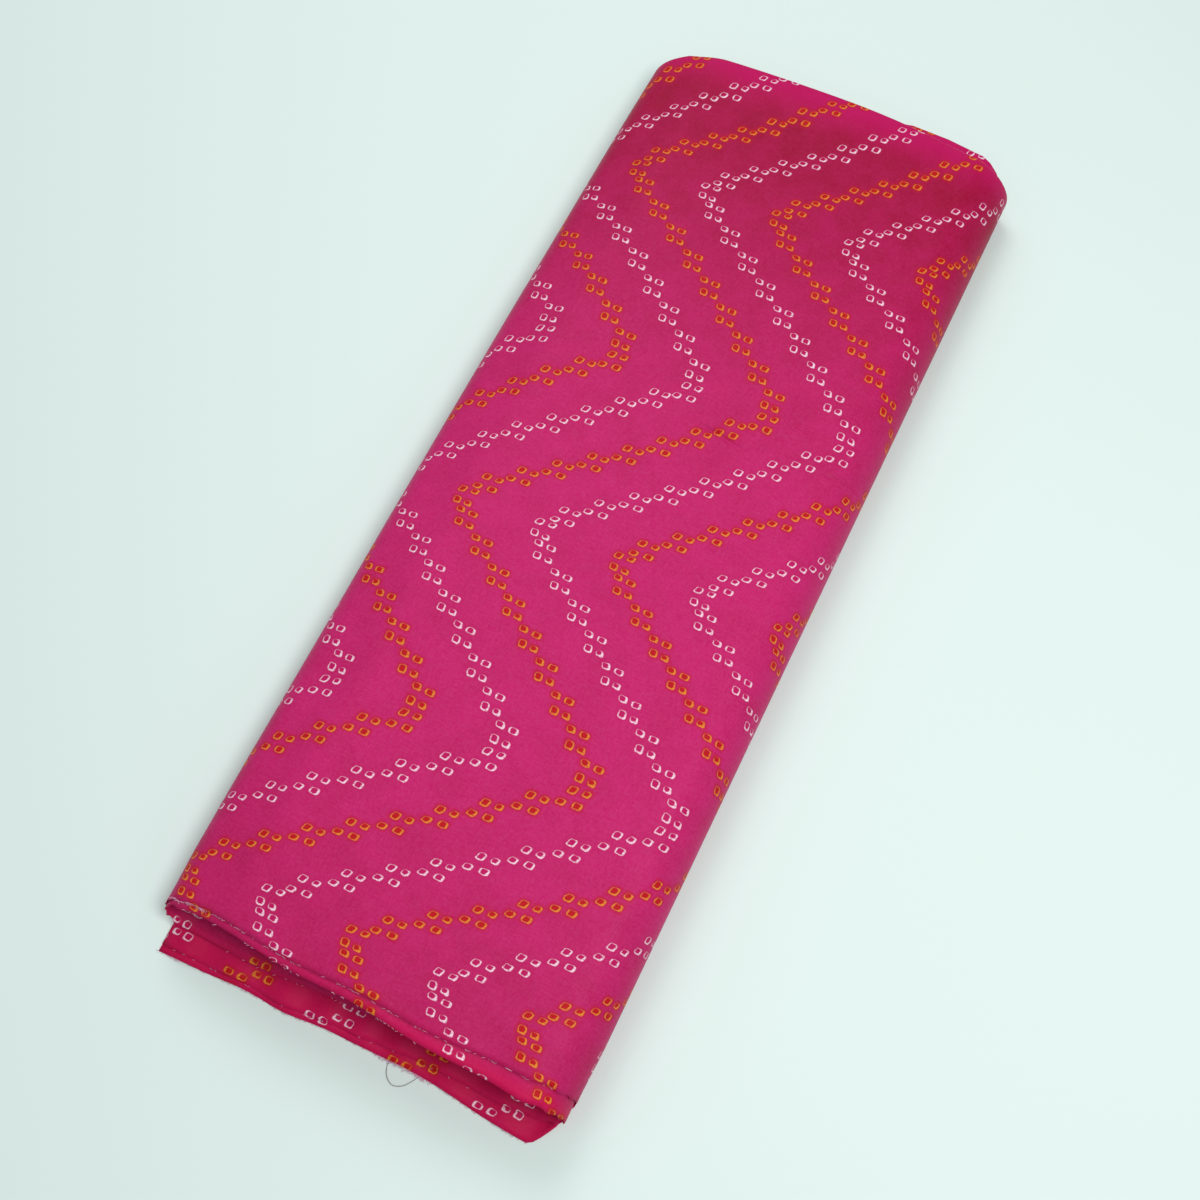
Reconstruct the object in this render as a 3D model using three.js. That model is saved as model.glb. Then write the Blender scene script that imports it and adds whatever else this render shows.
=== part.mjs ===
// A cut length of printed chanderi cloth, folded in half with its two selvedges together
// and wrapped flat into a long bundle. Millimetres, +Z up. X runs across the bundle and
// +Y towards the centre fold, so the loose selvedges lie at the -Y end.
// The whole cloth is one sheet: two plies side by side, joined by the centre fold at the
// far end, that go round and round the bundle from the outside in.
import * as THREE from 'three';

// Sizes of the bundle
const bundleWidth = 218;
const bundleHeight = 38;
const foldedLength = 560;
const wrapCount = 4;
const plyThickness = 1.5;
const plyGap = 0.5;

// Where the wrapping starts under the bundle and where it ends inside, along X
const outerEnd = -105;
const innerEnd = -58;

// Soft shape of the wrapped bundle
const leftShoulder = { start: -70, end: -99, thinning: 0.18 };
const rightLean = { amount: 9, level: 0.37 };
const leftBulge = 1.3;
const farPressing = { start: 190, end: 280, thinning: 0.07 };
const topWave = { height: 0.014, length: 330, phase: 0.6 };

// How far the centre fold draws back at the rounded corners of the far end
const cornerTuck = { left: 10, right: 4 };

// On its way up a side a selvedge shifts from the lower run's reach to the upper one's
// between these shares of the turn, and draws back a little meanwhile
const selvedgeShift = {
  left: { start: 0, end: 1, tuck: 0 },
  right: { start: 0, end: 0.4, tuck: 2 },
};

// Ripple of the loose selvedges
const edgeRipple = { height: 0.7, length: 74 };

// One row for each flat run, from the outermost one under the bundle inwards. The first
// six columns say how far the near edges of the outer and the inner ply reach past the
// nominal end at the left, middle and right; the last three say the same of the far fold.
const runs = [
  { outer: [22.3, 18.5, 23], inner: [19, 15, 12], far: [-11, -4, -9] },
  { outer: [-1.5, 1, -0.2], inner: [2, 5.7, 9.5], far: [-9, -1.5, -7] },
  { outer: [8.5, 5, -7], inner: [9, 2, -9], far: [-12, -3, -8] },
  { outer: [1, -3, -4], inner: [-1.5, -1, -6], far: [-11, -4, -2.5] },
  { outer: [-5, -1, -9], inner: [-7, -4, -8], far: [-14, -4, -9] },
  { outer: [-4, -7, -8], inner: [-6, -5, -10], far: [-15, -6, -10] },
  { outer: [-8, -6, -12], inner: [-10, -9, -11], far: [-17, -7, -12] },
  { outer: [-9, -10, -13], inner: [-11, -8, -14], far: [-18, -9, -13] },
];

// Fineness of the mesh
const runStations = [0, 0.06, 0.13, 0.22, 0.4, 0.6, 0.8, 1];
const turnSteps = [10, 10, 8, 8, 7, 6, 5];
const lengthStations = [0, 0.15, 0.35, 0.6, 0.85, 0.96, 1];
const foldSteps = 3;

// Sizes that follow
const pairThickness = 2 * plyThickness + plyGap;
const pairPitch = (bundleHeight - pairThickness) / (2 * wrapCount - 1);
const halfWidth = bundleWidth / 2;
const nearEnd = -foldedLength / 2;
const farEnd = foldedLength / 2;

function smooth(start, end, value) {
  const t = Math.min(Math.max((value - start) / (end - start), 0), 1);
  return t * t * (3 - 2 * t);
}

function mix(a, b, t) {
  return a + (b - a) * t;
}

// Height of the middle of the doubled cloth on a flat run: even runs lie under the core
// of the bundle and odd ones over it
function runHeight(index) {
  const depth = pairThickness / 2 + Math.floor(index / 2) * pairPitch;
  return index % 2 === 0 ? depth : bundleHeight - depth;
}

// The turn from one run to the next is a half circle about this centre
function turnAfter(index) {
  const low = Math.min(runHeight(index), runHeight(index + 1));
  const high = Math.max(runHeight(index), runHeight(index + 1));
  return { radius: (high - low) / 2, z: (high + low) / 2 };
}

const rightCentre = halfWidth - pairThickness / 2 - turnAfter(0).radius;
const leftCentre = -(halfWidth - pairThickness / 2 - turnAfter(1).radius);

// A curve through the left, middle and right value of a table column
function across(values, x) {
  const t = (x - leftCentre) / (rightCentre - leftCentre);
  const [left, middle, right] = values;
  return left + t * (4 * middle - 3 * left - right) + t * t * (2 * left + 2 * right - 4 * middle);
}

function reaches(index, x) {
  const { outer, inner, far } = runs[index];
  return { outer: across(outer, x), inner: across(inner, x), far: across(far, x) };
}

// Stations along the wrapping, from the outside in: the point on the middle of the doubled
// cloth, the direction away from the core, and the reach of its near and far edges
function wrapStations() {
  const stations = [];
  runs.forEach((_, index) => {
    const under = index % 2 === 0;
    const z = runHeight(index);
    const firstX = under ? (index === 0 ? outerEnd : leftCentre) : rightCentre;
    const lastX = under ? rightCentre : (index === runs.length - 1 ? innerEnd : leftCentre);
    runStations.forEach((station, step) => {
      const fromLeft = under ? station : runStations[runStations.length - 1 - step];
      const x = mix(Math.min(firstX, lastX), Math.max(firstX, lastX), fromLeft);
      stations.push({ x, z, nx: 0, nz: under ? -1 : 1, ...reaches(index, x) });
    });
    if (index === runs.length - 1) return;
    const turn = turnAfter(index);
    const side = under ? 1 : -1;
    const centre = under ? rightCentre : leftCentre;
    const tuck = under ? cornerTuck.right : cornerTuck.left;
    const shift = under ? selvedgeShift.right : selvedgeShift.left;
    const from = reaches(index, centre);
    const to = reaches(index + 1, centre);
    for (let step = 1; step < turnSteps[index]; step += 1) {
      const part = step / turnSteps[index];
      const angle = Math.PI * part;
      const nx = side * Math.sin(angle);
      const nz = (under ? -1 : 1) * Math.cos(angle);
      const fromBelow = under ? part : 1 - part;
      const shifted = smooth(shift.start, shift.end, fromBelow);
      const eased = under ? shifted : 1 - shifted;
      const drawnBack = shift.tuck * Math.sin(Math.PI * fromBelow);
      stations.push({
        x: centre + turn.radius * nx,
        z: turn.z + turn.radius * nz,
        nx,
        nz,
        outer: mix(from.outer, to.outer, eased) - drawnBack,
        inner: mix(from.inner, to.inner, eased) - drawnBack,
        far: mix(from.far, to.far, smooth(0, 1, part)) - tuck * Math.sin(angle),
      });
    }
  });
  return stations;
}

// The doubled cloth seen along the wrapping: out along the outer ply, round the centre
// fold and back along the inner ply. Each point is a share of the way along a ply, or an
// angle round the fold, with its distance from the middle of the pair.
function foldProfile(faceDistance) {
  const points = lengthStations.map((part) => ({ ply: 'outer', part, away: faceDistance, past: 0 }));
  for (let step = 1; step < foldSteps; step += 1) {
    const angle = (Math.PI * step) / foldSteps;
    points.push({
      ply: 'outer',
      part: 1,
      away: faceDistance * Math.cos(angle),
      past: faceDistance * Math.sin(angle),
    });
  }
  const back = [...lengthStations].reverse();
  back.forEach((part) => points.push({ ply: 'inner', part, away: -faceDistance, past: 0 }));
  return points;
}

// Soft deformation of the even wrapping. The resting face at z = 0 stays flat.
function soften(x, y, z) {
  const shoulder = leftShoulder.thinning * smooth(leftShoulder.start, leftShoulder.end, x);
  const pressed = farPressing.thinning * smooth(farPressing.start, farPressing.end, y);
  const wave = Math.sin((2 * Math.PI * y) / topWave.length + topWave.phase) * Math.cos(x / halfWidth);
  const height = (1 - shoulder) * (1 - pressed) * (1 + topWave.height * wave);
  const lean = rightLean.amount * (rightLean.level - z / bundleHeight) * smooth(0, rightCentre, x);
  const bulge = leftBulge * (1 - (y / farEnd) ** 2) * smooth(0, leftCentre, x);
  return [x + lean - bulge, y, z * height];
}

function surfacePoint(station, point) {
  const reach = point.ply === 'outer' ? station.outer : station.inner;
  const ripple = edgeRipple.height * Math.sin((2 * Math.PI * station.x) / edgeRipple.length + station.z);
  const near = nearEnd - reach - ripple;
  const far = farEnd - pairThickness / 2 + station.far;
  const y = mix(near, far, point.part) + point.past;
  return soften(station.x + station.nx * point.away, y, station.z + station.nz * point.away);
}

// A closed sheet: a grid of points on each face, joined along all four edges
function sheetGeometry() {
  const stations = wrapStations();
  const faces = [foldProfile(pairThickness / 2), foldProfile(plyGap / 2)];
  const rowLength = faces[0].length;
  const faceSize = stations.length * rowLength;
  const positions = [];
  faces.forEach((profile) => {
    stations.forEach((station) => {
      profile.forEach((point) => positions.push(...surfacePoint(station, point)));
    });
  });

  const indices = [];
  const at = (face, station, point) => face * faceSize + station * rowLength + point;
  const quad = (a, b, c, d) => indices.push(a, c, b, a, d, c);
  const lastStation = stations.length - 1;
  const lastPoint = rowLength - 1;
  for (let i = 0; i < lastStation; i += 1) {
    for (let j = 0; j < lastPoint; j += 1) {
      quad(at(0, i, j), at(0, i + 1, j), at(0, i + 1, j + 1), at(0, i, j + 1));
      quad(at(1, i, j), at(1, i, j + 1), at(1, i + 1, j + 1), at(1, i + 1, j));
    }
    quad(at(0, i, 0), at(1, i, 0), at(1, i + 1, 0), at(0, i + 1, 0));
    quad(at(0, i, lastPoint), at(0, i + 1, lastPoint), at(1, i + 1, lastPoint), at(1, i, lastPoint));
  }
  for (let j = 0; j < lastPoint; j += 1) {
    quad(at(0, 0, j), at(0, 0, j + 1), at(1, 0, j + 1), at(1, 0, j));
    quad(at(0, lastStation, j), at(1, lastStation, j), at(1, lastStation, j + 1), at(0, lastStation, j + 1));
  }

  const geometry = new THREE.BufferGeometry();
  geometry.setAttribute('position', new THREE.Float32BufferAttribute(positions, 3));
  geometry.setIndex(indices);
  geometry.computeVertexNormals();
  return geometry;
}

// The origin is the middle of the box's base
function centreOnBase(geometry) {
  geometry.computeBoundingBox();
  const box = geometry.boundingBox;
  geometry.translate(-(box.min.x + box.max.x) / 2, -(box.min.y + box.max.y) / 2, -box.min.z);
  return geometry;
}

const clothMaterial = new THREE.MeshStandardMaterial({
  color: new THREE.Color(0.72, 0.1, 0.37),
  roughness: 0.85,
  metalness: 0,
  side: THREE.DoubleSide,
});

const cloth = new THREE.Mesh(centreOnBase(sheetGeometry()), clothMaterial);
cloth.name = 'cloth';

const foldedCloth = new THREE.Group();
foldedCloth.add(cloth);

export default foldedCloth;
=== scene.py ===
"""A folded length of bandhani print chanderi cloth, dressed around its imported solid.

Shapes are worked out in millimetres, as the solid is, and written to Blender in metres.
X runs across the bundle, +Y towards the centre fold, and the loose selvedges lie at -Y.
"""
import math

import bpy
import numpy as np
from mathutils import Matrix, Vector


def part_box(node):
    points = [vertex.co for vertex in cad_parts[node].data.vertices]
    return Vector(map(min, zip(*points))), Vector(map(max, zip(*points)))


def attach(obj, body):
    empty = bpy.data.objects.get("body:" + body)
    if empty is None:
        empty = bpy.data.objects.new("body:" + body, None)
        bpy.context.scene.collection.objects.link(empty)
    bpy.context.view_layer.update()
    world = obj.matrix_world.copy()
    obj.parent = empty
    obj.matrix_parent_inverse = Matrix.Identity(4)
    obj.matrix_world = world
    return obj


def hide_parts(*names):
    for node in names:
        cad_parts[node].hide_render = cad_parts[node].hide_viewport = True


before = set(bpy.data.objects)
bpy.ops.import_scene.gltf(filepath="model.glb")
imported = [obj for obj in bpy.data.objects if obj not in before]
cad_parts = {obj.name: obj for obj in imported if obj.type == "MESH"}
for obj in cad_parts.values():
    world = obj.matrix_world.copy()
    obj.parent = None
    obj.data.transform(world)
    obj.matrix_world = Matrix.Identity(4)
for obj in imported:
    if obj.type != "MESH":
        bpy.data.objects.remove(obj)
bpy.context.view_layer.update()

MM = 0.001
SEED = 11

# Sizes of the bundle
BUNDLE_WIDTH = 218.0
BUNDLE_HEIGHT = 38.0
FOLDED_LENGTH = 560.0
WRAP_COUNT = 4
PAIR_THICKNESS = 3.5
OUTER_END = -105.0
INNER_END = -58.0

# The cloth itself: its thickness, and how far the middle of each ply lies from the
# middle of the doubled cloth
CLOTH_THICKNESS = 0.45
PLY_OFFSET = 1.22

# Soft shape of the wrapped bundle
LEFT_SHOULDER = {"start": -70, "end": -99, "thinning": 0.18}
RIGHT_LEAN = {"amount": 9, "level": 0.37}
LEFT_BULGE = 1.3
FAR_PRESSING = {"start": 190, "end": 280, "thinning": 0.07}
TOP_WAVE = {"height": 0.014, "length": 330, "phase": 0.6}
CORNER_TUCK = {"left": 10, "right": 4}
SELVEDGE_SHIFT = {
    "left": {"start": 0, "end": 1, "tuck": 0},
    "right": {"start": 0, "end": 0.4, "tuck": 2},
}
EDGE_RIPPLE = {"height": 0.7, "length": 74}

# One row for each flat run, from the outermost one under the bundle inwards: how far
# the near edges of the outer and inner ply and the far fold reach past the nominal ends
RUNS = [
    {"outer": (22.3, 18.5, 23), "inner": (19, 15, 12), "far": (-11, -4, -9)},
    {"outer": (-1.5, 1, -0.2), "inner": (2, 5.7, 9.5), "far": (-9, -1.5, -7)},
    {"outer": (8.5, 5, -7), "inner": (9, 2, -9), "far": (-12, -3, -8)},
    {"outer": (1, -3, -4), "inner": (-1.5, -1, -6), "far": (-11, -4, -2.5)},
    {"outer": (-5, -1, -9), "inner": (-7, -4, -8), "far": (-14, -4, -9)},
    {"outer": (-4, -7, -8), "inner": (-6, -5, -10), "far": (-15, -6, -10)},
    {"outer": (-8, -6, -12), "inner": (-10, -9, -11), "far": (-17, -7, -12)},
    {"outer": (-9, -10, -13), "inner": (-11, -8, -14), "far": (-18, -9, -13)},
]

# Near the loose selvedges the two plies lie closer together and every run ripples. The
# flat strip, which is the outermost run under the bundle, is wavy there and reaches
# further at one place. It fades out over the second half of its turn.
SELVEDGE_CLOSING = {"share": 0.6, "depth": 30}
STRIP_FADE = {"gone": 1.0, "whole": 0.5}
STRIP_BUMP = {"reach": 3.2, "x": -37, "width": 17}
STRIP_WAVE = {
    "outer": 1.8, "inner": 2.8, "depth": 26, "length": 23, "wander": 1.4, "wander_length": 21,
}
RUN_WAVE = {"height": 0.55, "depth": 26, "length": 47}
# At the far end the run under the top one looks out beyond it on the right
FAR_PEEK = {"run": 3, "reach": 5.0, "start": 20, "end": 48, "gone": 0.5, "whole": 0.1}
FAR_PEEK_EASING = {"share": 0.5, "start": 60, "end": 100}
# The top turns down at the centre fold and is never quite flat
FOLD_ROLL = {"drop": 2.6, "start": 262, "end": 280}
SWELLS = [
    {"height": 0.3, "x": 0.021, "y": 0.045, "phase": 0.4},
    {"height": 0.22, "x": -0.048, "y": 0.027, "phase": 2.1},
    {"height": 0.12, "x": 0.07, "y": -0.082, "phase": 4.0},
]
# Creases pressed into the top: both ends as (x, y), depth (negative for a ridge) and width.
# Each wanders a little and fades out over the same share of its length at both ends.
CREASE_WANDER = {"reach": 0.8, "length": 7}
CREASE_FADE = 0.3
CREASES = [
    ((12, 49.6), (44, 46.6), 1.3, 1.2),
    ((35, 54.2), (73, 67.8), 1.15, 1.2),
    ((82, 50.8), (104, 53.8), 1.4, 1.1),
    ((10, 53), (48, 52), -0.35, 2.6),
    ((-3, 45.5), (22, 64), -0.6, 2.0),
    ((52, 78), (79, 91), 0.6, 2.4),
    ((63, 29.5), (83, 35.5), 0.6, 2.2),
    ((12, 1), (44, 17.5), 0.25, 3.0),
    ((-92, 120), (-40, 130), 0.2, 4.0),
    ((20, 182), (84, 176), 0.22, 4.0),
    ((-60, -60), (-8, -66), 0.2, 4.5),
    ((-86, -206), (-36, -214), 0.25, 3.6),
    ((10, -246), (88, -238), 0.28, 4.0),
    ((-40, 258), (28, 262), -0.5, 5.0),
]

# Fineness of the sheet: steps on each run and each turn, from the outside inwards, and
# along the cloth on the outer and the inner ply
RUN_STEPS = [40, 64, 12, 8, 6, 6, 6, 5]
TURN_STEPS = [20, 20, 8, 8, 6, 6, 6]
FOLD_STEPS = 6
EDGE_SHARE = 0.06
FOLD_SHARE = 0.95
EDGE_STEPS = 12
OUTER_STEPS = 142
INNER_STEPS = 18
# The part of the way along the outer ply where the sharpest creases lie gets finer steps
CREASED_SHARES = (0.574, 0.628)
CREASED_STEPS = 44
NEAR_FOLD_STEPS = 8

PAIR_PITCH = (BUNDLE_HEIGHT - PAIR_THICKNESS) / (2 * WRAP_COUNT - 1)
HALF_WIDTH = BUNDLE_WIDTH / 2
NEAR_END = -FOLDED_LENGTH / 2
FAR_END = FOLDED_LENGTH / 2


def smooth(start, end, value):
    t = np.clip((value - start) / (end - start), 0, 1)
    return t * t * (3 - 2 * t)


def mix(a, b, t):
    return a + (b - a) * t


def run_height(index):
    depth = PAIR_THICKNESS / 2 + (index // 2) * PAIR_PITCH
    return depth if index % 2 == 0 else BUNDLE_HEIGHT - depth


def turn_after(index):
    low = min(run_height(index), run_height(index + 1))
    high = max(run_height(index), run_height(index + 1))
    return (high - low) / 2, (high + low) / 2


RIGHT_CENTRE = HALF_WIDTH - PAIR_THICKNESS / 2 - turn_after(0)[0]
LEFT_CENTRE = -(HALF_WIDTH - PAIR_THICKNESS / 2 - turn_after(1)[0])


def across(values, x):
    t = (x - LEFT_CENTRE) / (RIGHT_CENTRE - LEFT_CENTRE)
    left, middle, right = values
    bend = 2 * left + 2 * right - 4 * middle
    return left + t * (4 * middle - 3 * left - right) + t * t * bend


def reaches(index, x):
    return [across(RUNS[index][key], x) for key in ("outer", "inner", "far")]


def wrap_stations():
    """Points along the wrapping: x, z, outward normal x and z, the three reaches, and how
    many runs and shares of a turn lie outside of it."""
    rows = []
    for index in range(len(RUNS)):
        under = index % 2 == 0
        z = run_height(index)
        first = (OUTER_END if index == 0 else LEFT_CENTRE) if under else RIGHT_CENTRE
        last = RIGHT_CENTRE if under else (INNER_END if index == len(RUNS) - 1 else LEFT_CENTRE)
        for x in np.linspace(first, last, RUN_STEPS[index] + 1):
            rows.append([x, z, 0, -1 if under else 1, *reaches(index, x), index])
        if index == len(RUNS) - 1:
            break
        radius, centre_z = turn_after(index)
        side = 1 if under else -1
        centre = RIGHT_CENTRE if under else LEFT_CENTRE
        shift = SELVEDGE_SHIFT["right" if under else "left"]
        tuck = CORNER_TUCK["right" if under else "left"]
        before = reaches(index, centre)
        after = reaches(index + 1, centre)
        for step in range(1, TURN_STEPS[index]):
            part = step / TURN_STEPS[index]
            angle = math.pi * part
            nx = side * math.sin(angle)
            nz = (-1 if under else 1) * math.cos(angle)
            from_below = part if under else 1 - part
            shifted = smooth(shift["start"], shift["end"], from_below)
            eased = shifted if under else 1 - shifted
            back = shift["tuck"] * math.sin(math.pi * from_below)
            rows.append([
                centre + radius * nx,
                centre_z + radius * nz,
                nx,
                nz,
                mix(before[0], after[0], eased) - back,
                mix(before[1], after[1], eased) - back,
                mix(before[2], after[2], smooth(0, 1, part)) - tuck * math.sin(angle),
                index + part,
            ])
    return np.array(rows, float)


def length_shares(steps):
    """Shares of the way along a ply, finer near the loose edge and near the fold."""
    near = np.linspace(0, EDGE_SHARE, EDGE_STEPS + 1)[:-1]
    middle = np.linspace(EDGE_SHARE, FOLD_SHARE, steps + 1)[:-1]
    if steps == OUTER_STEPS:
        low, high = CREASED_SHARES
        plain_steps = steps - CREASED_STEPS
        before = round(plain_steps * (low - EDGE_SHARE) / (FOLD_SHARE - EDGE_SHARE - high + low))
        middle = np.concatenate([
            np.linspace(EDGE_SHARE, low, before + 1)[:-1],
            np.linspace(low, high, CREASED_STEPS + 1)[:-1],
            np.linspace(high, FOLD_SHARE, plain_steps - before + 1)[:-1],
        ])
    return np.concatenate([near, middle, np.linspace(FOLD_SHARE, 1, NEAR_FOLD_STEPS + 1)])


def fold_profile():
    """The doubled cloth seen along the wrapping: share of the way, side of the middle and
    how far round the fold as a cosine and a sine, and which ply it is."""
    rows = [(share, 1, 0, 0) for share in length_shares(OUTER_STEPS)]
    for step in range(1, FOLD_STEPS):
        angle = math.pi * step / FOLD_STEPS
        rows.append((1, math.cos(angle), math.sin(angle), 0))
    rows += [(share, -1, 0, 1) for share in length_shares(INNER_STEPS)[::-1]]
    return np.array(rows, float)


def soften(x, y, z):
    shoulder = LEFT_SHOULDER["thinning"] * smooth(LEFT_SHOULDER["start"], LEFT_SHOULDER["end"], x)
    pressed = FAR_PRESSING["thinning"] * smooth(FAR_PRESSING["start"], FAR_PRESSING["end"], y)
    wave = np.sin(2 * np.pi * y / TOP_WAVE["length"] + TOP_WAVE["phase"]) * np.cos(x / HALF_WIDTH)
    height = (1 - shoulder) * (1 - pressed) * (1 + TOP_WAVE["height"] * wave)
    level = RIGHT_LEAN["level"] - z / BUNDLE_HEIGHT
    lean = RIGHT_LEAN["amount"] * level * smooth(0, RIGHT_CENTRE, x)
    bulge = LEFT_BULGE * (1 - (y / FAR_END) ** 2) * smooth(0, LEFT_CENTRE, x)
    return x + lean - bulge, y, z * height


def ridge(off, width):
    return np.exp(-(off / width) ** 2)


def relief(x, y):
    """Low swells and creases of the top, in millimetres."""
    height = 0 * x
    for swell in SWELLS:
        height = height + swell["height"] * np.sin(swell["x"] * x + swell["y"] * y + swell["phase"])
    for (x0, y0), (x1, y1), depth, width in CREASES:
        length = math.hypot(x1 - x0, y1 - y0)
        along = ((x - x0) * (x1 - x0) + (y - y0) * (y1 - y0)) / length
        off = ((x - x0) * (y1 - y0) - (y - y0) * (x1 - x0)) / length
        off = off + CREASE_WANDER["reach"] * np.sin(along / CREASE_WANDER["length"])
        fade = smooth(0, length * CREASE_FADE, along)
        fade = fade * smooth(length, length * (1 - CREASE_FADE), along)
        height = height - depth * fade * ridge(off, width)
    roll = FOLD_ROLL["drop"] * smooth(FOLD_ROLL["start"], FOLD_ROLL["end"], y)
    return height - roll


def far_peek(x, place):
    """How much further than its neighbours the peeking run reaches at the far end."""
    on_run = smooth(FAR_PEEK["gone"], FAR_PEEK["whole"], np.abs(place - FAR_PEEK["run"]))
    rightward = smooth(FAR_PEEK["start"], FAR_PEEK["end"], x)
    eased = FAR_PEEK_EASING["share"] * smooth(FAR_PEEK_EASING["start"], FAR_PEEK_EASING["end"], x)
    return FAR_PEEK["reach"] * on_run * (rightward - eased)


def strip_bump(x):
    """How much further than evenly the flat strip reaches."""
    return STRIP_BUMP["reach"] * ridge(x - STRIP_BUMP["x"], STRIP_BUMP["width"])


def edge_waves(x, nz, place, ply, strip, from_edge):
    """How far the loose edges lift, on the flat strip and on the other runs."""
    lift = mix(STRIP_WAVE["outer"], STRIP_WAVE["inner"], ply)
    lift = lift * strip * smooth(STRIP_WAVE["depth"], 0, from_edge)
    wander = STRIP_WAVE["wander"] * np.sin(x / STRIP_WAVE["wander_length"])
    swing = np.sin(2 * np.pi * x / STRIP_WAVE["length"] + wander + ply)
    ripple = RUN_WAVE["height"] * (1 - strip) * smooth(RUN_WAVE["depth"], 0, from_edge)
    ripple = ripple * np.sin(2 * np.pi * x / RUN_WAVE["length"] + 2 * place) * np.abs(nz)
    return lift * (0.5 + 0.5 * swing) + ripple


def sheet_points(stations, profile, offset, half_thickness=0.0, settled=True):
    """The grid of points of one face of the sheet, and where it lies along the cloth.

    Unsettled, it has the plain shape of the solid.
    """
    share, side, past, ply = (profile[None, :, k] for k in range(4))
    x, z, nx, nz = (stations[:, k, None] for k in range(4))
    place = stations[:, 7, None]
    reach = np.where(ply > 0, stations[:, 5, None], stations[:, 4, None])
    phase = 2 * np.pi * x / EDGE_RIPPLE["length"] + z
    near = NEAR_END - reach - EDGE_RIPPLE["height"] * np.sin(phase)
    far = FAR_END - PAIR_THICKNESS / 2 + stations[:, 6, None]
    strip = smooth(STRIP_FADE["gone"], STRIP_FADE["whole"], place)
    if settled:
        near = near - strip * strip_bump(x)
        far = far + far_peek(x, place)
    y = mix(near, far, share) + past * (offset + half_thickness)
    from_edge = y - near
    closing = SELVEDGE_CLOSING["share"] * smooth(SELVEDGE_CLOSING["depth"], 0, from_edge)
    if not settled:
        closing = 0
    away = side * (offset * (1 - closing) + half_thickness)
    px, py, pz = soften(x + nx * away, y, z + nz * away)
    if settled:
        pz = pz + edge_waves(x, nz, place, ply, strip, from_edge) - strip * closing * offset
        pz = pz + relief(px, py) * pz / BUNDLE_HEIGHT
    return np.stack([px, py, pz], -1), y


def centre_shift(stations, profile):
    """How far the raw sheet moves so that it fills the solid's place."""
    half = PAIR_THICKNESS / 2
    raw = sheet_points(stations, profile, half, settled=False)[0].reshape(-1, 3)
    low, high = (np.array(corner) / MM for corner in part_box("cloth"))
    shift = (low + high) / 2 - (raw.min(0) + raw.max(0)) / 2
    shift[2] = 0
    return shift


# The print: pairs of dotted rows, every other line white. Distances in millimetres of
# flat cloth, measured across from the middle of the top and along from the far end
LINE_SPACING = 44.0
PRINT_MIDDLE = -1.8
PRINT_SKEW = 0.014
PAIR_ROW_PITCH = 11.64
SECOND_ROW = 0.6
SECOND_ROW_SHIFT = 0.2
TURN_PAIRS = 19
LAST_FORTH_PAIR = 9
TURN_DELAY = 1.7
PRINT_START = -8
PRINT_PAIRS = 51
# The place of pair 0 along the cloth and the mean pitch of the pairs, which sway about it
# once between two turns; towards the centre fold the cloth is pulled a little longer
FIRST_PAIR = 93.0
PAIR_PITCH_ALONG = 11.66
PAIR_SWAY = 2.6
FOLD_PULL = {"extra": 4.5, "start": 50, "end": 10}
# How far apart the lines lie at places along the cloth, which is stretched a little
SPACING_PLACES = [(0, 42.8), (180, 42.7), (300, 43.8), (420, 45.5), (560, 45.3)]
# Where one orange line lies, by the number of the row pair
LINE_PATH = [
    (-8, 98.7), (-1, 6.8), (0, -0.4), (1, 6.9), (2, 21.8), (5, 69.6), (9, 130.8), (10, 133.9),
    (11, 119.1), (14, 77.4), (18, 19.3), (19, 10.8), (20, 15.8), (22, 45.8), (26, 103.8),
    (28, 131.4), (29, 132.2), (30, 115), (37, -3.9), (38, -16.9), (39, -14.5), (40, -0.8),
    (43, 42.5),
]


def print_coordinates(stations, profile, grid, y):
    """Distance across the print and along it for each grid point."""
    across_path = grid[:, OUTER_STEPS // 2][:, [0, 2]]
    steps = np.linalg.norm(np.diff(across_path, axis=0), axis=1)
    walked = np.concatenate([[0], np.cumsum(steps)])
    first = RUN_STEPS[0] + TURN_STEPS[0]
    top = slice(first, first + RUN_STEPS[1] + 1)
    middle = np.interp(PRINT_MIDDLE, across_path[top, 0][::-1], walked[top][::-1])
    along = FAR_END - y
    spacing = np.interp(along, *zip(*SPACING_PLACES))
    skewed = along + PRINT_SKEW * (middle - walked)[:, None]
    pulled = skewed + FOLD_PULL["extra"] * smooth(FOLD_PULL["start"], FOLD_PULL["end"], along)
    even = (pulled - FIRST_PAIR) / PAIR_PITCH_ALONG
    row = even + PAIR_SWAY / PAIR_PITCH_ALONG * np.sin(2 * np.pi * even / TURN_PAIRS)
    u = (middle - walked)[:, None] * LINE_SPACING / spacing
    return u, row * PAIR_ROW_PITCH, walked


# The map on which a finished colour picture of the cloth is laid out. Most of its room
# goes to what shows: the top with both sides, then the underside, then the loose edges of
# the hidden plies. Columns are given in points of a map 1024 wide and high.
MAP_SIZE = 1024
MAP_MARGIN = 2
TOP_COLUMN = (2, 508)
UNDERSIDE_COLUMN = (511, 715)
HIDDEN_COLUMNS = [(718, 788), (791, 861), (864, 934), (937, 1001)]
RIM_COLUMN = {"left": 1004, "width": 3, "pitch": 5}
# In the hidden columns: distance from the loose edge, and the share of the column it gets
HIDDEN_DEPTHS = ((0, 30, 540, 575), (0, 0.6, 0.8, 1))
# The first four runs get this share of a hidden column's rows
OUTER_RUNS_SHARE = 0.8
LEAST_RIM_STEP = 0.01


def map_rows(share):
    return MAP_MARGIN + (MAP_SIZE - 2 * MAP_MARGIN) * share


def from_zero_to_one(values):
    return (values - values[0]) / (values[-1] - values[0])


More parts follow.
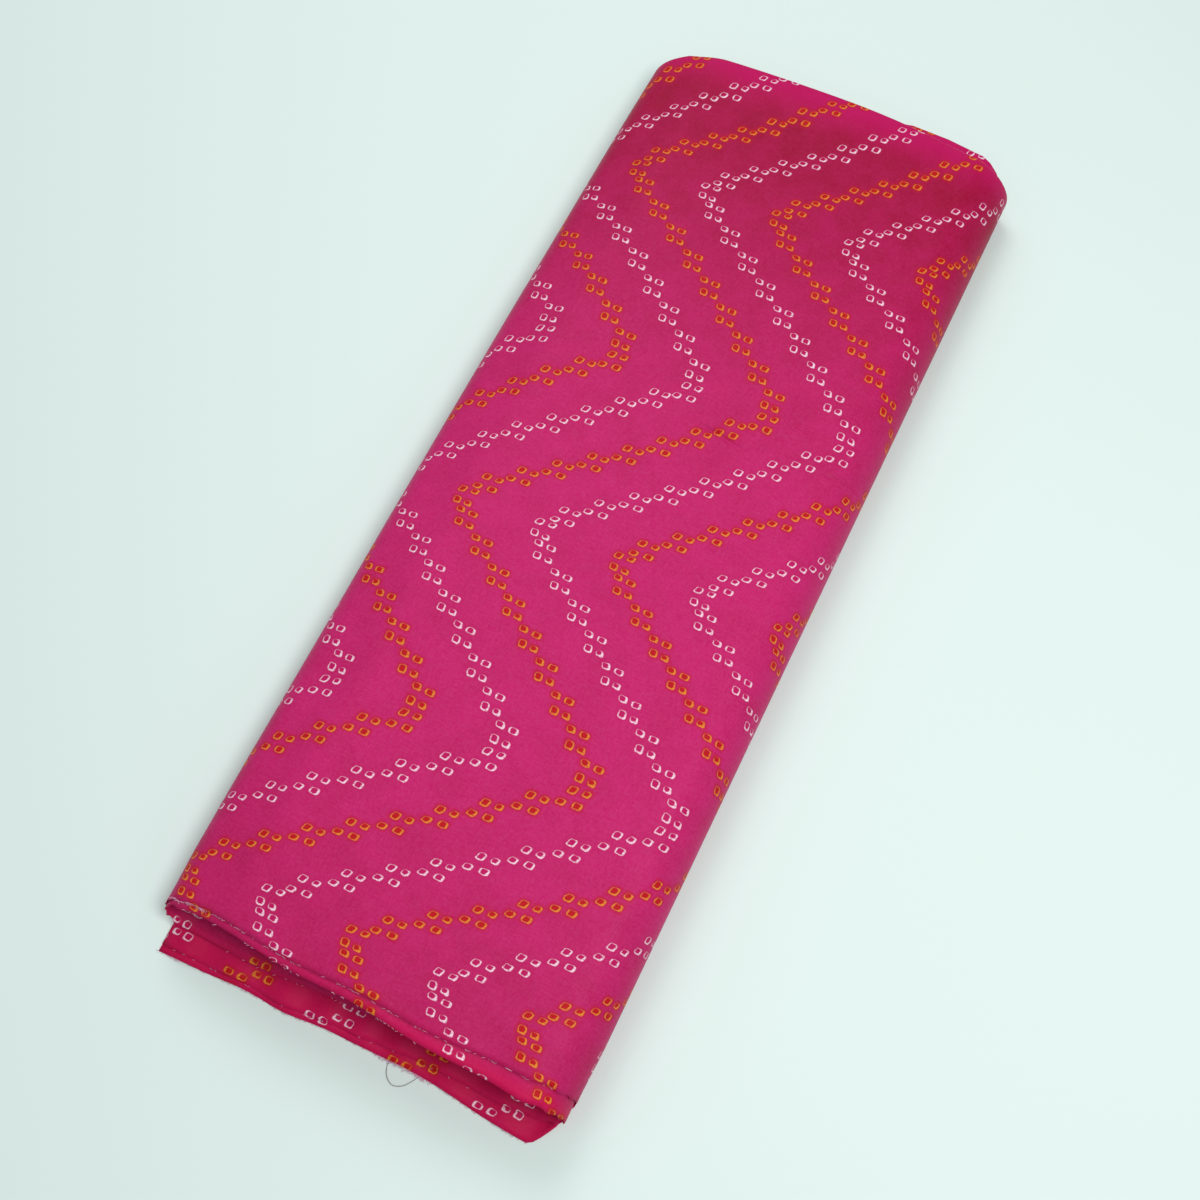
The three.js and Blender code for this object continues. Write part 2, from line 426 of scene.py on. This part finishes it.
def map_places(profile, walked):
    """Map places of the corners of every quad: both faces of the sheet, then its rims."""
    wide, long = len(walked), len(profile)
    depth = profile[:, 0] * FOLDED_LENGTH + np.arctan2(profile[:, 2], profile[:, 1]) * PLY_OFFSET
    fold_end = len(length_shares(OUTER_STEPS)) - 1 + FOLD_STEPS
    top = RUN_STEPS[0]
    inner = top + TURN_STEPS[0] + RUN_STEPS[1] + TURN_STEPS[1]
    outer_runs = walked[inner + RUN_STEPS[2] + TURN_STEPS[2] + RUN_STEPS[3]]
    shares = np.interp(walked, (0, outer_runs, walked[-1]), (0, OUTER_RUNS_SHARE, 1))
    # Face, first and last station, first and last profile point, and the column
    islands = [
        (0, top, inner, 0, fold_end, TOP_COLUMN),
        (0, 0, top, 0, fold_end, UNDERSIDE_COLUMN),
        (0, inner, wide - 1, 0, fold_end, HIDDEN_COLUMNS[0]),
        (0, 0, wide - 1, fold_end, long - 1, HIDDEN_COLUMNS[1]),
        (1, 0, wide - 1, 0, fold_end, HIDDEN_COLUMNS[2]),
        (1, 0, wide - 1, fold_end, long - 1, HIDDEN_COLUMNS[3]),
    ]
    places = np.zeros((2, wide - 1, long - 1, 4, 2))
    for face, i0, i1, j0, j1, (left, right) in islands:
        if (left, right) in HIDDEN_COLUMNS:
            rows = from_zero_to_one(shares[i0:i1 + 1])
            columns = np.interp(depth[j0:j1 + 1], *HIDDEN_DEPTHS)
            y, x = np.meshgrid(rows, columns, indexing="ij")
        else:
            columns = from_zero_to_one(walked[i0:i1 + 1])
            rows = from_zero_to_one(depth[j0:j1 + 1])
            x, y = np.meshgrid(columns, rows, indexing="ij")
        spot = np.stack([left + x * (right - left), map_rows(y)], -1)
        corners = [spot[:-1, :-1], spot[1:, :-1], spot[1:, 1:], spot[:-1, 1:]]
        if face == 0:
            corners = [corners[k] for k in (0, 3, 2, 1)]
        places[face, i0:i1, j0:j1] = np.stack(corners, 2)

    steps = np.abs(np.diff(depth)) + LEAST_RIM_STEP
    round_profile = np.concatenate([[0], np.cumsum(steps)])
    rims = []
    for number, (line, flip) in enumerate(((walked, False), (walked, True),
                                           (round_profile, True), (round_profile, False))):
        y = map_rows(from_zero_to_one(line))
        left = np.full(len(y) - 1, float(RIM_COLUMN["left"] + number * RIM_COLUMN["pitch"]))
        right = left + RIM_COLUMN["width"]
        quad = np.stack([left, y[:-1], left, y[1:], right, y[1:], right, y[:-1]], -1)
        quad = quad.reshape(-1, 4, 2)
        rims.append(quad[:, ::-1] if flip else quad)
    return np.concatenate([places.reshape(-1, 4, 2), *rims]) / MAP_SIZE


def add_map(mesh, name, places):
    layer = mesh.uv_layers.new(name=name)
    layer.data.foreach_set("uv", places.astype(np.float32).reshape(-1))


def add_piece(name, points, faces):
    mesh = bpy.data.meshes.new(name)
    mesh.from_pydata((np.asarray(points) * MM).tolist(), [], faces)
    mesh.polygons.foreach_set("use_smooth", [True] * len(faces))
    piece = bpy.data.objects.new(name, mesh)
    bpy.context.scene.collection.objects.link(piece)
    return piece


def build_cloth(stations, profile, shift):
    half = CLOTH_THICKNESS / 2
    grids = [sheet_points(stations, profile, PLY_OFFSET, side)[0] + shift for side in (half, -half)]
    grid, y = sheet_points(stations, profile, PLY_OFFSET)
    u, v, walked = print_coordinates(stations, profile, grid, y)
    wide, long = grid.shape[:2]
    size = wide * long
    points = np.concatenate([g.reshape(-1, 3) for g in grids])

    index = np.arange(size).reshape(wide, long)
    a, b = index[:-1, :-1], index[1:, :-1]
    c, d = index[1:, 1:], index[:-1, 1:]
    outer = np.stack([a, d, c, b], -1).reshape(-1, 4)
    inner = np.stack([a, b, c, d], -1).reshape(-1, 4) + size
    rims = []
    for line, flip in ((index[:, 0], False), (index[:, -1], True),
                       (index[0, :], True), (index[-1, :], False)):
        p, q = line[:-1], line[1:]
        quad = np.stack([p, q, q + size, p + size], -1)
        rims.append(quad[:, ::-1] if flip else quad)
    quads = np.concatenate([outer, inner, *rims])

    piece = add_piece("cloth_sheet", points, quads.tolist())
    corner = quads.reshape(-1) % size
    printed = np.stack([u.reshape(-1)[corner], v.reshape(-1)[corner]], -1) * MM
    add_map(piece.data, "Print", printed)
    add_map(piece.data, "OFBake", map_places(profile, walked))
    return piece


# Threads that stick out of the cut and woven edges: the run, the ply, between which x,
# how many, how far out they point at most, and how long they are
FRAYS = [
    {"run": 1, "ply": "outer", "x": (-104, 96), "count": 80, "out": 0.7, "length": (0.8, 3.0)},
    {"run": 1, "ply": "outer", "x": (-104, -84), "count": 40, "out": 1.6, "length": (1.5, 3.5)},
    {"run": 1, "ply": "inner", "x": (-100, 96), "count": 30, "out": 0.9, "length": (0.8, 2.2)},
    {"run": 0, "ply": "outer", "x": (-104, 96), "count": 110, "out": 1.0, "length": (1.0, 2.4)},
    {"run": 0, "ply": "outer", "x": (14, 40), "count": 60, "out": 2.2, "length": (1.5, 4.0)},
    {"run": 0, "ply": "inner", "x": (-104, 96), "count": 20, "out": 0.8, "length": (0.8, 2.0)},
    {"run": 2, "ply": "outer", "x": (-100, 96), "count": 16, "out": 0.8, "length": (0.8, 2.0)},
]
# An edge is followed on its run and just under half of the turns next to it
FRAYED_TURN_SHARE = 0.45
FRAY_RADIUS = 0.12
FRAY_HABIT = {
    "points": 4, "least_out": 0.1, "rise": (-0.2, 0.5), "curl": (-0.5, 0.5), "slowing": 0.2,
    "above": 0.12, "thickness": (0.6, 1.1),
}
LOOSE_THREAD = [
    (20, -286), (20.5, -289.5), (22.5, -293), (26.5, -295.4), (31, -294), (34, -290.5),
    (36, -287), (38, -285),
]
LOOSE_THREAD_RADIUS = 0.17
LOOSE_THREAD_STEPS = 60
LOOSE_THREAD_LIFT = {"ends": 0.25, "middle": 1.4}


# Keeps a division away from nothing
TINY = 1e-9


def strand(points, radius):
    """A thin three-sided tube through the points."""
    points = np.asarray(points, float)
    along = np.gradient(points, axis=0)
    side = np.cross(along, (0, 0, 1))
    side /= np.linalg.norm(side, axis=1, keepdims=True) + TINY
    up = np.cross(side, along)
    up /= np.linalg.norm(up, axis=1, keepdims=True) + TINY
    rings = [points + radius * (math.cos(a) * side + math.sin(a) * up)
             for a in (math.pi / 2, math.pi * 7 / 6, math.pi * 11 / 6)]
    vertices = np.stack(rings, 1).reshape(-1, 3)
    faces = []
    for k in range(len(points) - 1):
        for j in range(3):
            a, b = 3 * k + j, 3 * k + (j + 1) % 3
            faces.append((a, b, b + 3, a + 3))
    last = 3 * (len(points) - 1)
    faces += [(2, 1, 0), (last, last + 1, last + 2)]
    return vertices, faces


def join(strands):
    vertices, faces, count = [], [], 0
    for points, sides in strands:
        vertices.append(points)
        faces += [tuple(corner + count for corner in side) for side in sides]
        count += len(points)
    return np.concatenate(vertices), faces


def build_fray(stations, profile, shift):
    """Short pale threads along the selvedges, lying more along the edge than out of it."""
    chance = np.random.default_rng(SEED)
    grid = sheet_points(stations, profile, PLY_OFFSET)[0] + shift
    strands = []
    for fray in FRAYS:
        on_run = np.abs(stations[:, 7] - fray["run"]) < FRAYED_TURN_SHARE
        edge = grid[on_run, 0 if fray["ply"] == "outer" else -1]
        edge = edge[np.argsort(edge[:, 0])]
        for x in chance.uniform(*fray["x"], fray["count"]):
            root = np.array([x] + [np.interp(x, edge[:, 0], edge[:, k]) for k in (1, 2)])
            tangent = np.array([1.0, np.interp(x + 1.0, edge[:, 0], edge[:, 1]) - root[1], 0])
            tangent *= chance.choice([-1, 1]) / np.linalg.norm(tangent)
            length = chance.uniform(*fray["length"])
            out = chance.uniform(FRAY_HABIT["least_out"], fray["out"])
            rise = chance.uniform(*FRAY_HABIT["rise"])
            curl = chance.uniform(*FRAY_HABIT["curl"])
            path = []
            for t in np.linspace(0, 1, FRAY_HABIT["points"]):
                point = root + tangent * length * t * (1 - FRAY_HABIT["slowing"] * t)
                outward = -out * t - curl * t * (1 - t)
                point = point + np.array([0, outward, rise * t + FRAY_HABIT["above"]])
                point[2] = max(point[2], FRAY_RADIUS)
                path.append(point)
            radius = FRAY_RADIUS * chance.uniform(*FRAY_HABIT["thickness"])
            strands.append(strand(path, radius))
    return add_piece("selvedge_threads", *join(strands))


def build_loose_thread():
    """One thread that loops out of the edge, as a smooth curve through its places."""
    places = np.array(LOOSE_THREAD, float)
    last = len(places) - 1
    path = []
    for t in np.linspace(0, last, LOOSE_THREAD_STEPS):
        k = min(int(t), last - 1)
        before, after = places[max(k - 1, 0)], places[min(k + 2, last)]
        a, b, s = places[k], places[k + 1], t - k
        square = 2 * before - 5 * a + 4 * b - after
        cube = 3 * a - before - 3 * b + after
        x, y = (2 * a + (b - before) * s + square * s ** 2 + cube * s ** 3) / 2
        lift = LOOSE_THREAD_LIFT["middle"] * math.sin(math.pi * t / last) ** 2
        path.append((x, y, LOOSE_THREAD_LIFT["ends"] + lift))
    return add_piece("loose_thread", *strand(path, LOOSE_THREAD_RADIUS))


class Net:
    """A node tree that is written as sums, as in u * 2.0 + v or net.call("FLOOR", u)."""

    def __init__(self, tree):
        self.tree = tree

    def node(self, kind, **settings):
        made = self.tree.nodes.new(kind)
        for name, value in settings.items():
            setattr(made, name, value)
        return made

    def put(self, socket, value):
        if isinstance(value, Value):
            self.tree.links.new(value.socket, socket)
        else:
            socket.default_value = value

    def call(self, operation, *inputs, clamp=False):
        made = self.node("ShaderNodeMath", operation=operation, use_clamp=clamp)
        for socket, value in zip(made.inputs, inputs):
            self.put(socket, value)
        return Value(self, made.outputs[0])

    def between(self, value, low, high):
        made = self.node("ShaderNodeMapRange", interpolation_type="SMOOTHSTEP")
        for name, given in (("Value", value), ("From Min", low), ("From Max", high)):
            self.put(made.inputs[name], given)
        return Value(self, made.outputs[0])

    def blend(self, share, first, second):
        return first + (second - first) * share if isinstance(first, Value) else (
            self.call("MULTIPLY_ADD", share, second - first, first))

    def colour(self, share, first, second, how="MIX"):
        made = self.node("ShaderNodeMix", data_type="RGBA", blend_type=how)
        self.put(made.inputs["Factor"], share)
        for socket, given in ((made.inputs[6], first), (made.inputs[7], second)):
            self.put(socket, given)
        return Value(self, made.outputs[2])

    def noise(self, place, scale, detail=2.0, roughness=0.5):
        made = self.node("ShaderNodeTexNoise")
        for name, given in (("Vector", place), ("Scale", scale), ("Detail", detail),
                            ("Roughness", roughness)):
            self.put(made.inputs[name], given)
        return Value(self, made.outputs["Fac"])

    def vector(self, x, y, z=0.0):
        made = self.node("ShaderNodeCombineXYZ")
        for socket, given in zip(made.inputs, (x, y, z)):
            self.put(socket, given)
        return Value(self, made.outputs[0])


class Value:
    def __init__(self, net, socket):
        self.net, self.socket = net, socket

    def __add__(self, other):
        return self.net.call("ADD", self, other)

    def __sub__(self, other):
        return self.net.call("SUBTRACT", self, other)

    def __mul__(self, other):
        return self.net.call("MULTIPLY", self, other)

    def __truediv__(self, other):
        return self.net.call("DIVIDE", self, other)


def linear(red, green, blue):
    """A colour given as 0 to 255 screen values, as linear light."""
    def one(level):
        level /= 255
        return level / 12.92 if level <= 0.04045 else ((level + 0.055) / 1.055) ** 2.4
    return (one(red), one(green), one(blue), 1.0)


# The ground: crimson at the far end, pink in the middle and redder again near the loose
# selvedges. This change along the length is painted: a painted sheen, full in the middle and
# half near the selvedges, over crimson that stands as painted shade at the far end. A band
# just before the centre fold is brighter with a painted highlight, and a band along the
# selvedges with painted light on the flat strip. Places are in millimetres along the print.
PINK_AND_SHEEN = linear(195, 29, 102)
CRIMSON_AND_SHADE = linear(150, 5, 42)
PAINTED_SHEEN_RISE = (-130.0, 210.0)
PAINTED_SHEEN_FADE = (330.0, 560.0)
PAINTED_SHEEN_FADE_SHARE = 0.5
PAINTED_SHEEN_SHARE = 0.85
PINK_OFFSET = -0.05
PAINTED_HIGHLIGHT_MAGENTA = linear(206, 24, 106)
FOLD_PAINTED_HIGHLIGHT = (-84.0, -58.0)
FOLD_PAINTED_HIGHLIGHT_SHARE = 0.6
PAINTED_LIGHT_CRIMSON = linear(206, 14, 72)
SELVEDGE_PAINTED_LIGHT = (464.0, 478.0)
SELVEDGE_PAINTED_LIGHT_SHARE = 0.6

# Unevenness of the ground: broad mottling, streaks of pale threads both ways, dark specks
MOTTLE = {"scale": 0.05, "detail": 4.0, "roughness": 0.65, "between": (0.3, 0.7), "share": 0.25}
PALE_PINK = linear(214, 84, 142)
PALE = {"between": (0.37, 0.63), "share": 0.26, "at_far_end": 0.35}
THREAD_SCALES = {"long": 0.16, "short": 3.2}
FINE = {"scale": 0.6, "detail": 3.0, "roughness": 0.7}
SPECK = linear(158, 10, 78)
SPECKS = {"scale": 1.3, "roughness": 0.6, "between": (0.52, 0.7), "share": 0.3}

# The rings and the wash of dye round and inside them. The first share in a pair is for
# white rings, the second for orange ones.
ORANGE_RING = linear(226, 138, 48)
ORANGE_HALO = linear(186, 26, 22)
WHITE_RING = linear(246, 212, 228)
WHITE_HALO = linear(186, 14, 86)
BLEED = {"scale": 0.6, "reach": 0.7}
INK_BORDER = (-0.26, 0.2)
INK_BREAKS = {"scale": 1.2, "between": (0.32, 0.56), "thinnest": 0.35}
WASH_OUTSIDE = {"between": (-0.2, 2.4), "shares": (0.2, 0.7)}
WASH_INSIDE = {"between": (-0.9, 0.3), "shares": (0.5, 0.8)}

WEAVE = {"pitch": 0.42, "height": 0.35, "streaks": 1.2, "strength": 0.25, "depth": 0.0002}
CLOTH_SHEEN = {"Roughness": 0.36, "Specular IOR Level": 0.05}

# How a ring is drawn: the width of its stroke, how square it is, and how much thinner the
# stroke is at its upper left, where the dye did not reach
RING_STROKE = 0.54
RING_CORNER = 3.6
STROKE_BIAS = 0.035
# The dots of a row, on the way to the right and on the way back: the gap between a left
# and a right dot and how much lower the right one lies, then for each dot its half width
# and half height, how far it leans to the right, and how much its stroke thickens to the
# right, below, and at both sides
DOT_KINDS = {
    "first_forth": {
        "spacing": (7.1, 0.3),
        "left": (1.85, 1.42, -0.22, 0.14, 0.08, 0.06),
        "right": (1.95, 1.4, -0.05, 0.04, 0.0, 0.16),
    },
    "second_forth": {
        "spacing": (6.1, 0.1),
        "left": (1.75, 1.78, -0.12, 0.06, 0.08, 0.04),
        "right": (1.6, 1.3, -0.15, 0.15, 0.17, 0.02),
    },
    "first_back": {
        "spacing": (6.7, -0.7),
        "left": (1.72, 1.7, 0.3, 0.06, 0.06, 0.06),
        "right": (1.55, 1.3, 0.28, 0.14, 0.1, 0.02),
    },
    "second_back": {
        "spacing": (7.8, -1.0),
        "left": (1.8, 1.4, 0.32, 0.12, 0.06, 0.04),
        "right": (1.9, 1.5, 0.18, 0.04, 0.02, 0.14),
    },
}


def line_path(net, row):
    """Where the orange line lies at that row number."""
    made = net.node("ShaderNodeFloatCurve")
    share = (row - float(PRINT_START)) / float(PRINT_PAIRS)
    net.put(made.inputs["Value"], share)
    net.put(made.inputs["Factor"], 1.0)
    lowest = min(x for _, x in LINE_PATH)
    reach = max(x for _, x in LINE_PATH) - lowest
    curve = made.mapping.curves[0]
    places = [((n - PRINT_START) / PRINT_PAIRS, (x - lowest) / reach) for n, x in LINE_PATH]
    while len(curve.points) < len(places):
        curve.points.new(0.5, 0.5)
    for point, place in zip(curve.points, places):
        point.location = place
        point.handle_type = "VECTOR"
    made.mapping.update()
    return Value(net, made.outputs[0]) * reach + lowest


def ring(net, x, y, shape):
    """Distance from the middle of a ring's stroke, and how much the stroke thickens there."""
    half_width, half_height, slant, right, below, sides = shape
    across_it = (x + y * slant) / half_width
    down_it = y / half_height
    power = RING_CORNER
    total = (net.call("POWER", net.call("ABSOLUTE", across_it), power)
             + net.call("POWER", net.call("ABSOLUTE", down_it), power))
    radius = net.call("POWER", total, 1 / power)
    off = (radius - 1.0) * ((half_width + half_height) * 0.5)
    length = net.call("MAXIMUM", radius, 0.5)
    rightward = across_it / length
    downward = down_it / length
    thick = rightward * (right + STROKE_BIAS) + downward * (below + STROKE_BIAS)
    thick = thick + (rightward * rightward - downward * downward) * sides
    return off, thick


def dotted_row(net, u, v, second):
    """One row of each pair: distance to its nearest ring, and whether the line is orange."""
    pair = v / PAIR_ROW_PITCH - (SECOND_ROW if second else 0.0)
    number = net.call("ROUND", pair)
    in_turn = net.call("FLOORED_MODULO", number, float(TURN_PAIRS))
    turning = net.call("COMPARE", in_turn, LAST_FORTH_PAIR + 1.0, 0.5)
    y = (pair - number) * PAIR_ROW_PITCH - turning * TURN_DELAY
    forth = net.call("LESS_THAN", in_turn, LAST_FORTH_PAIR + 0.5)
    if not second:
        forth = forth * net.call("GREATER_THAN", in_turn, 0.5)
    x = u - line_path(net, number + (SECOND_ROW_SHIFT if second else 0.0)) + LINE_SPACING / 2
    line = net.call("FLOOR", x / LINE_SPACING)
    orange = net.call("LESS_THAN", net.call("FLOORED_MODULO", line, 2.0), 0.5)
    x = x - line * LINE_SPACING - LINE_SPACING / 2
    name = "second" if second else "first"
    kinds = DOT_KINDS[name + "_back"], DOT_KINDS[name + "_forth"]
    gap, drop = (net.blend(forth, *ends) for ends in zip(*(kind["spacing"] for kind in kinds)))
    results = []
    for side in ("left", "right"):
        shape = [net.blend(forth, *ends) for ends in zip(*(kind[side] for kind in kinds))]
        if side == "left":
            off, thick = ring(net, x, y, shape)
        else:
            off, thick = ring(net, x - gap, y - drop, shape)
        results.append((net.call("ABSOLUTE", off) - thick, off))
    edge, inside = (net.call("MINIMUM", *pair) for pair in zip(*results))
    return edge, inside, orange


def without(net, value):
    return net.call("SUBTRACT", 1.0, value)


def streaks(net, u, v):
    """Threads of both directions and a finer noise, from 0 to 1."""
    long, short = THREAD_SCALES["long"], THREAD_SCALES["short"]
    warp = net.noise(net.vector(u * long, v * short), 1.0)
    weft = net.noise(net.vector(u * short, v * long, 3.0), 1.0)
    fine = net.noise(net.vector(u, v), FINE["scale"], FINE["detail"], FINE["roughness"])
    return (warp + weft + fine) / 3.0


def ground(net, v, place, streak):
    """The colour of the cloth under the print, with painted sheen, shade and highlights in it."""
    mottle = net.noise(place, MOTTLE["scale"], MOTTLE["detail"], MOTTLE["roughness"])
    mottle = net.between(mottle, *MOTTLE["between"])
    # Painted sheen along the length: none at the far end, which stays in painted shade, full in the
    # middle and half near the selvedges; the mottling is the cloth's own uneven tone
    length = net.between(v, *PAINTED_SHEEN_RISE) - net.between(v, *PAINTED_SHEEN_FADE) * PAINTED_SHEEN_FADE_SHARE
    sheen_and_mottle = length * PAINTED_SHEEN_SHARE + mottle * MOTTLE["share"] + PINK_OFFSET
    shade = net.colour(sheen_and_mottle, CRIMSON_AND_SHADE, PINK_AND_SHEEN)
    pale = net.between(streak, *PALE["between"]) * PALE["share"]
    # Pale streaks are weaker at the far end, under the painted shade
    pale = pale * net.blend(length, PALE["at_far_end"], 1.0)
    shade = net.colour(pale, shade, PALE_PINK)
    specks = net.noise(place, SPECKS["scale"], roughness=SPECKS["roughness"])
    specks = net.between(specks, *SPECKS["between"]) * SPECKS["share"]
    shade = net.colour(specks, shade, SPECK)
    # Painted highlight on the cloth as it rolls over at the centre fold
    fold_highlight = without(net, net.between(v, *FOLD_PAINTED_HIGHLIGHT)) * FOLD_PAINTED_HIGHLIGHT_SHARE
    shade = net.colour(fold_highlight, shade, PAINTED_HIGHLIGHT_MAGENTA)
    # Painted light on the flat strip along the loose selvedges
    selvedge_light = net.between(v, *SELVEDGE_PAINTED_LIGHT) * SELVEDGE_PAINTED_LIGHT_SHARE
    return net.colour(selvedge_light, shade, PAINTED_LIGHT_CRIMSON)


def printed(net, u, v, place, shade):
    """The ground with the wash of dye and the rings on it."""
    # The dye bleeds a little, so that no ring is quite like the next
    scale, reach = BLEED["scale"], BLEED["reach"]
    bled_u = u + (net.noise(place, scale, 1.0) - 0.5) * reach
    bled_v = v + (net.noise(net.vector(v, u, 7.0), scale, 1.0) - 0.5) * reach
    first, first_in, first_orange = dotted_row(net, bled_u, bled_v, False)
    second, second_in, second_orange = dotted_row(net, bled_u, bled_v, True)
    orange = net.blend(net.call("LESS_THAN", first, second), second_orange, first_orange)
    edge = net.call("MINIMUM", first, second)
    inside = net.call("MINIMUM", first_in, second_in)

    wash = net.colour(orange, WHITE_HALO, ORANGE_HALO)
    for reached in (WASH_OUTSIDE, WASH_INSIDE):
        amount = without(net, net.between(inside, *reached["between"]))
        shade = net.colour(amount * net.blend(orange, *reached["shares"]), shade, wash)
    inner, outer = (RING_STROKE / 2 + border for border in INK_BORDER)
    breaks = net.between(net.noise(place, INK_BREAKS["scale"]), *INK_BREAKS["between"])
    ink = without(net, net.between(edge, inner, outer))
    ink = ink * net.blend(breaks, INK_BREAKS["thinnest"], 1.0)
    return net.colour(ink, shade, net.colour(orange, WHITE_RING, ORANGE_RING))


def weave_bump(net, u, v, streak):
    turn = 2 * math.pi / WEAVE["pitch"]
    threads = net.call("SINE", u * turn) * net.call("SINE", v * turn)
    bump = net.node("ShaderNodeBump")
    net.put(bump.inputs["Height"], threads * WEAVE["height"] + streak * WEAVE["streaks"])
    net.put(bump.inputs["Strength"], WEAVE["strength"])
    net.put(bump.inputs["Distance"], WEAVE["depth"])
    return Value(net, bump.outputs[0])


def cloth_material():
    material = bpy.data.materials.new("bandhani_cloth")
    material.use_nodes = True
    tree = material.node_tree
    tree.nodes.clear()
    net = Net(tree)
    flat = net.node("ShaderNodeUVMap", uv_map="Print")
    split = net.node("ShaderNodeSeparateXYZ")
    tree.links.new(flat.outputs[0], split.inputs[0])
    u, v = (Value(net, split.outputs[k]) * (1 / MM) for k in range(2))
    place = net.vector(u, v)
    streak = streaks(net, u, v)

    shader = net.node("ShaderNodeBsdfPrincipled")
    for name, value in CLOTH_SHEEN.items():
        shader.inputs[name].default_value = value
    net.put(shader.inputs["Base Color"], printed(net, u, v, place, ground(net, v, place, streak)))
    net.put(shader.inputs["Normal"], weave_bump(net, u, v, streak))
    output = net.node("ShaderNodeOutputMaterial")
    tree.links.new(shader.outputs[0], output.inputs[0])
    return material


def plain_material(name, colour, roughness):
    material = bpy.data.materials.new(name)
    material.use_nodes = True
    shader = material.node_tree.nodes["Principled BSDF"]
    shader.inputs["Base Color"].default_value = colour
    shader.inputs["Roughness"].default_value = roughness
    return material


# The table top, from its middle to its sides in metres
FLOOR_REACH = 4.0
PALE_GREEN = linear(222, 236, 232)
FLOOR_ROUGHNESS = 0.7


def build_floor():
    mesh = bpy.data.meshes.new("floor")
    far = FLOOR_REACH
    corners = [(-far, -far, 0), (far, -far, 0), (far, far, 0), (-far, far, 0)]
    mesh.from_pydata(corners, [], [(0, 1, 2, 3)])
    floor = bpy.data.objects.new("floor", mesh)
    bpy.context.scene.collection.objects.link(floor)
    floor.data.materials.append(plain_material("pale_table", PALE_GREEN, FLOOR_ROUGHNESS))


# The photograph's view: where it looks, from how far, turned from +Y and tilted down
VIEW_AIM = Vector((0.0072, -0.0364, 0.0049))
VIEW_DISTANCE = 0.8357
VIEW_TURN = math.radians(26.18)
VIEW_DOWN = math.radians(68.5)
VIEW_LENS = 48.4
SENSOR_WIDTH = 36
NEAREST_SEEN = 0.01


def build_camera():
    forward = Vector((
        -math.sin(VIEW_TURN) * math.cos(VIEW_DOWN),
        math.cos(VIEW_TURN) * math.cos(VIEW_DOWN),
        -math.sin(VIEW_DOWN),
    ))
    data = bpy.data.cameras.new("camera")
    data.lens = VIEW_LENS
    data.sensor_width = SENSOR_WIDTH
    data.sensor_fit = "HORIZONTAL"
    data.clip_start = NEAREST_SEEN
    camera = bpy.data.objects.new("camera", data)
    camera.location = VIEW_AIM - forward * VIEW_DISTANCE
    camera.rotation_euler = forward.to_track_quat("-Z", "Y").to_euler()
    bpy.context.scene.collection.objects.link(camera)
    bpy.context.scene.camera = camera


# Square lights aimed at the bundle: name, place and side length in metres, and power
LIGHTS = [
    ("window", (-0.6, 0.9, 1.2), 0.8, 8.5),
    ("overhead", (0.5, -0.2, 1.25), 0.5, 10.0),
]
ROOM_LIGHT = {"colour": (0.86, 0.95, 0.94, 1), "strength": 0.39}


def add_light(name, place, size, power):
    data = bpy.data.lights.new(name, "AREA")
    data.shape = "SQUARE"
    data.size = size
    data.energy = power
    light = bpy.data.objects.new(name, data)
    light.location = place
    aim = Vector((0, 0, 0)) - Vector(place)
    light.rotation_euler = aim.to_track_quat("-Z", "Y").to_euler()
    bpy.context.scene.collection.objects.link(light)


def build_light():
    for light in LIGHTS:
        add_light(*light)
    bpy.context.scene.view_settings.view_transform = "Standard"
    world = bpy.data.worlds.new("room")
    world.use_nodes = True
    background = world.node_tree.nodes["Background"]
    background.inputs[0].default_value = ROOM_LIGHT["colour"]
    background.inputs[1].default_value = ROOM_LIGHT["strength"]
    bpy.context.scene.world = world


THREAD_ROUGHNESS = 0.8
PALE_THREAD = linear(236, 170, 200)
GREY_THREAD = linear(150, 130, 136)

stations = wrap_stations()
profile = fold_profile()
shift = centre_shift(stations, profile)
cloth = build_cloth(stations, profile, shift)
cloth.data.materials.append(cloth_material())
threads = build_fray(stations, profile, shift)
threads.data.materials.append(plain_material("pale_threads", PALE_THREAD, THREAD_ROUGHNESS))
loose_thread = build_loose_thread()
loose_thread.data.materials.append(plain_material("grey_thread", GREY_THREAD, THREAD_ROUGHNESS))
for piece in (cloth, threads, loose_thread):
    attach(piece, "root")
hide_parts("cloth")

build_floor()
build_camera()
build_light()
bpy.context.view_layer.update()
